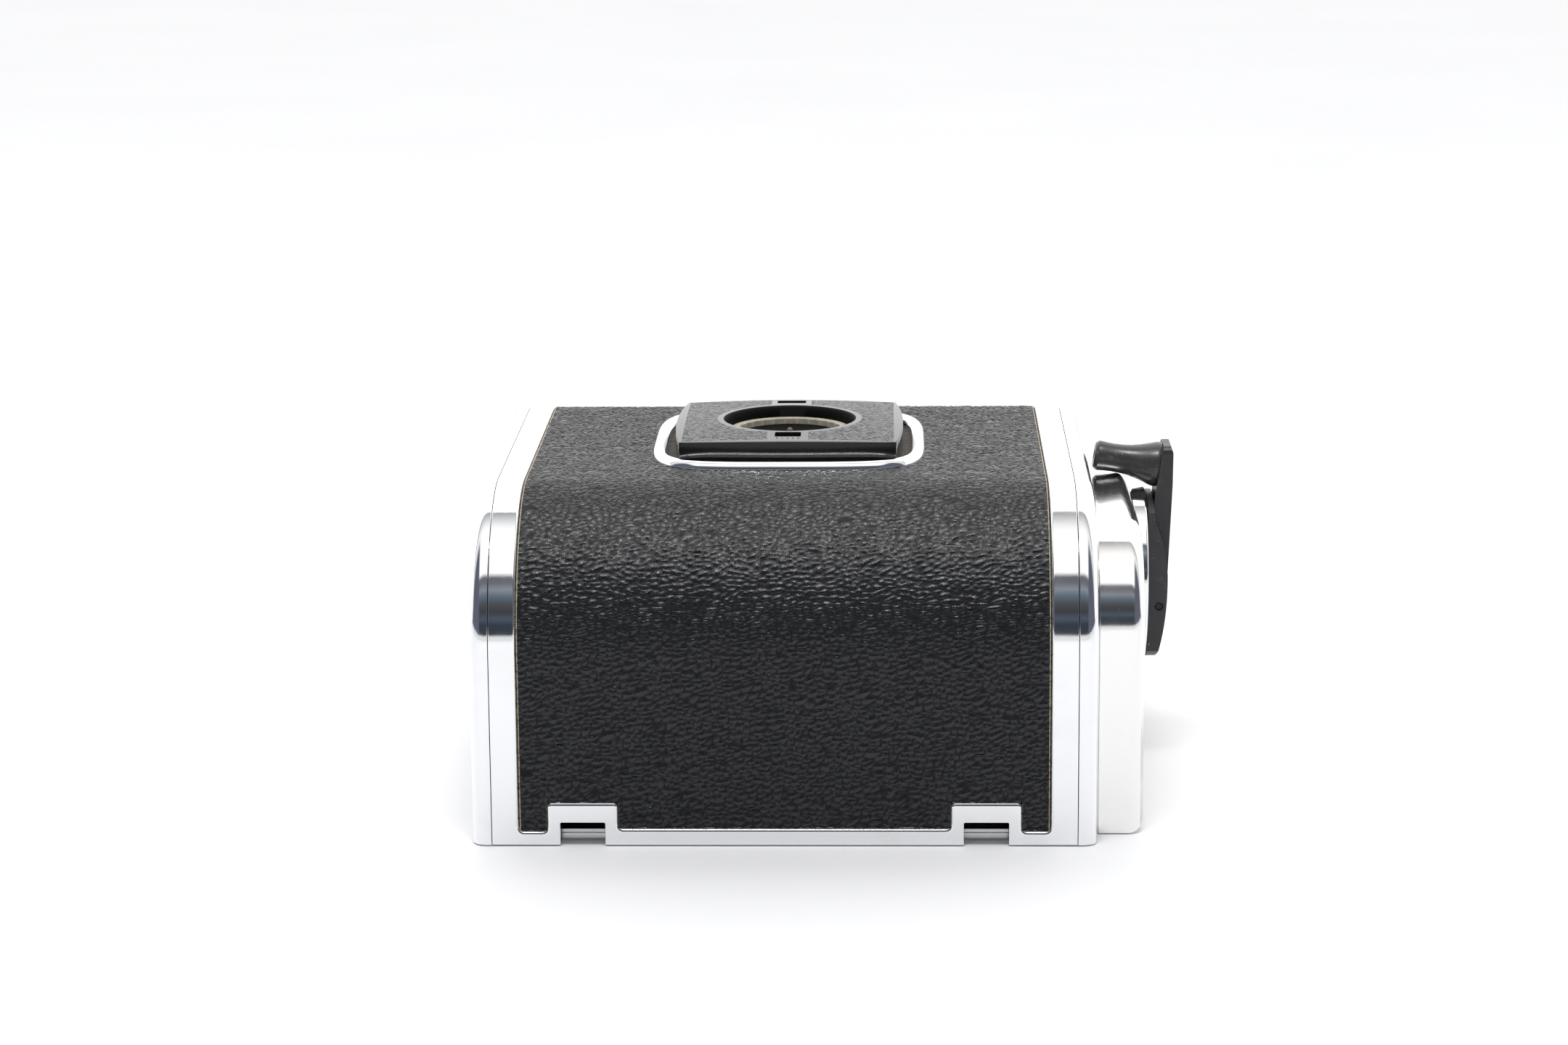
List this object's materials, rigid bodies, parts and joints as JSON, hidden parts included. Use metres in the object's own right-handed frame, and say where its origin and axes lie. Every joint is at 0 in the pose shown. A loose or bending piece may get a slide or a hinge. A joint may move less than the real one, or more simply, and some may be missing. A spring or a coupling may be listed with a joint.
{
  "type": "roll film magazine",
  "caption": "Detachable roll film magazine with folding winding crank, film-speed dial, hook slots, square film gate and a sliding film insert.",
  "frame": {"origin": "centre of the bounding box on the plane of the front (film-gate) face, on which the magazine lies", "axes": "+X towards the winding crank, +Y towards the upper end with the catch button, +Z towards the rear with the film-speed dial"},
  "size_m": [0.098, 0.091, 0.0503],
  "materials": {
    "chrome": "polished, lightly worn",
    "satin_metal": "satin",
    "steel": "brushed",
    "brass": "machined",
    "black_plastic": "black, slightly worn",
    "black_paint": "matt black",
    "leather": "pebbled black",
    "felt": "black pile",
    "ivory_paint": "matt ivory",
    "red_paint": "matt red",
    "clear_window": "clear"
  },
  "bodies": {
    "magazine": {"casing_shell": "chrome", "leatherette": "leather", "left_side_frame": "chrome", "right_side_cover": "chrome", "front_plate": "satin_metal", "film_gate": "black_paint", "front_screw_1": "steel", "front_screw_2": "steel", "front_screw_3": "steel", "front_screw_4": "steel", "light_trap_felt": "felt", "light_trap_spring": "brass", "dial_bezel": "chrome", "dial_plate": "black_plastic", "gear_housing": "chrome", "counter_window": "clear_window", "status_window": "clear_window", "crank_boss": "chrome", "catch_spring": "steel"},
    "speed_dial_body": {"speed_dial": "black_paint", "speed_scale_disc": "ivory_paint", "speed_dial_pin": "steel", "speed_dial_nut": "brass"},
    "counter_body": {"counter_disc": "ivory_paint", "counter_star_wheel": "brass"},
    "status_body": {"status_disc": "red_paint"},
    "takeup_drive": {"takeup_gear": "brass"},
    "idler": {"idler_gear": "brass"},
    "coupling": {"coupling_gear": "steel"},
    "crank": {"crank_shaft": "steel", "crank_gear": "brass", "crank_hub": "black_plastic", "crank_hub_screw": "steel", "crank_fold_pin": "steel"},
    "arm": {"crank_arm": "black_plastic", "knob_rivet": "steel"},
    "knob": {"crank_knob": "black_plastic"},
    "catch": {"catch_slide": "steel", "catch_button": "chrome"},
    "film_insert": {"insert_end_plate": "chrome", "insert_frame": "black_paint", "insert_screw_1": "steel", "insert_screw_2": "steel", "insert_screw_3": "steel", "insert_screw_4": "steel", "spool_pin_supply_left": "steel", "spool_pin_supply_right": "steel", "spool_pin_takeup_left": "steel", "pressure_spring": "steel"},
    "key": {"insert_key": "steel", "key_lock_bar": "steel"},
    "bow": {"key_bow": "chrome"},
    "spool": {"takeup_spool": "black_plastic"},
    "roller_lower": {"film_roller_lower": "steel"},
    "roller_upper": {"film_roller_upper": "steel"},
    "pressure": {"pressure_plate": "black_paint"}
  },
  "joints": [
    {"name": "crank_turn", "type": "hinge", "parent": "magazine", "child": "crank", "pos_m": [0.04065, 0.0045, 0.0263], "axis": [1, 0, 0], "range_deg": [0, 360]},
    {"name": "crank_fold", "type": "hinge", "parent": "crank", "child": "arm", "pos_m": [0.04695, 0.0045, 0.0227], "axis": [0, 1, 0], "range_deg": [0, 165]},
    {"name": "knob_spin", "type": "hinge", "parent": "arm", "child": "knob", "pos_m": [0.0467, 0.0045, 0.0424], "axis": [-0.988, 0, 0.1542], "continuous": true},
    {"name": "takeup_turn", "type": "hinge", "parent": "magazine", "child": "takeup_drive", "pos_m": [0.03765, 0.025, 0.0263], "axis": [1, 0, 0], "range_deg": [-345, 0]},
    {"name": "spool_turn", "type": "hinge", "parent": "film_insert", "child": "spool", "pos_m": [-0.00635, 0.025, 0.0263], "axis": [1, 0, 0], "range_deg": [-345, 0]},
    {"name": "idler_turn", "type": "hinge", "parent": "magazine", "child": "idler", "pos_m": [0.03765, 0.0045, 0.0113], "axis": [1, 0, 0], "range_deg": [-720, 0]},
    {"name": "coupling_turn", "type": "hinge", "parent": "magazine", "child": "coupling", "pos_m": [0.03765, 0.01211, 0.0065], "axis": [1, 0, 0], "range_deg": [0, 900]},
    {"name": "counter_turn", "type": "hinge", "parent": "magazine", "child": "counter_body", "pos_m": [0.04065, 0.031, 0.012], "axis": [1, 0, 0], "range_deg": [0, 30]},
    {"name": "status_turn", "type": "hinge", "parent": "magazine", "child": "status_body", "pos_m": [0.04065, -0.0235, 0.014], "axis": [1, 0, 0], "range_deg": [0, 90]},
    {"name": "speed_dial_turn", "type": "hinge", "parent": "magazine", "child": "speed_dial_body", "pos_m": [-0.00635, 0, 0.048], "axis": [0, 0, 1], "range_deg": [0, 300]},
    {"name": "insert_slide", "type": "slide", "parent": "magazine", "child": "film_insert", "axis": [-1, 0, 0], "range_m": [0, 0.095]},
    {"name": "key_turn", "type": "hinge", "parent": "film_insert", "child": "key", "pos_m": [-0.04735, 0, 0.024], "axis": [1, 0, 0], "range_deg": [0, 90]},
    {"name": "key_bow_fold", "type": "hinge", "parent": "key", "child": "bow", "pos_m": [-0.04818, 0, 0.024], "axis": [0, -1, 0], "range_deg": [0, 90]},
    {"name": "roller_lower_spin", "type": "hinge", "parent": "film_insert", "child": "roller_lower", "pos_m": [-0.00635, -0.0349, 0.0102], "axis": [1, 0, 0], "continuous": true},
    {"name": "roller_upper_spin", "type": "hinge", "parent": "film_insert", "child": "roller_upper", "pos_m": [-0.00635, 0.0349, 0.0102], "axis": [1, 0, 0], "continuous": true},
    {"name": "pressure_travel", "type": "slide", "parent": "film_insert", "child": "pressure", "axis": [0, 0, -1], "range_m": [0, 0.0004], "stiffness_N_per_m": 1500},
    {"name": "catch_travel", "type": "slide", "parent": "magazine", "child": "catch", "axis": [1, 0, 0], "range_m": [0, 0.005], "stiffness_N_per_m": 300}
  ],
  "couplings": [
    {"joint": "crank_fold", "follows": "crank_turn", "ratio": 0.45833},
    {"joint": "takeup_turn", "follows": "crank_turn", "ratio": -0.95238},
    {"joint": "spool_turn", "follows": "crank_turn", "ratio": -0.95238},
    {"joint": "idler_turn", "follows": "crank_turn", "ratio": -2},
    {"joint": "coupling_turn", "follows": "crank_turn", "ratio": 2.5},
    {"joint": "counter_turn", "follows": "crank_turn", "ratio": 0.079365}
  ]
}
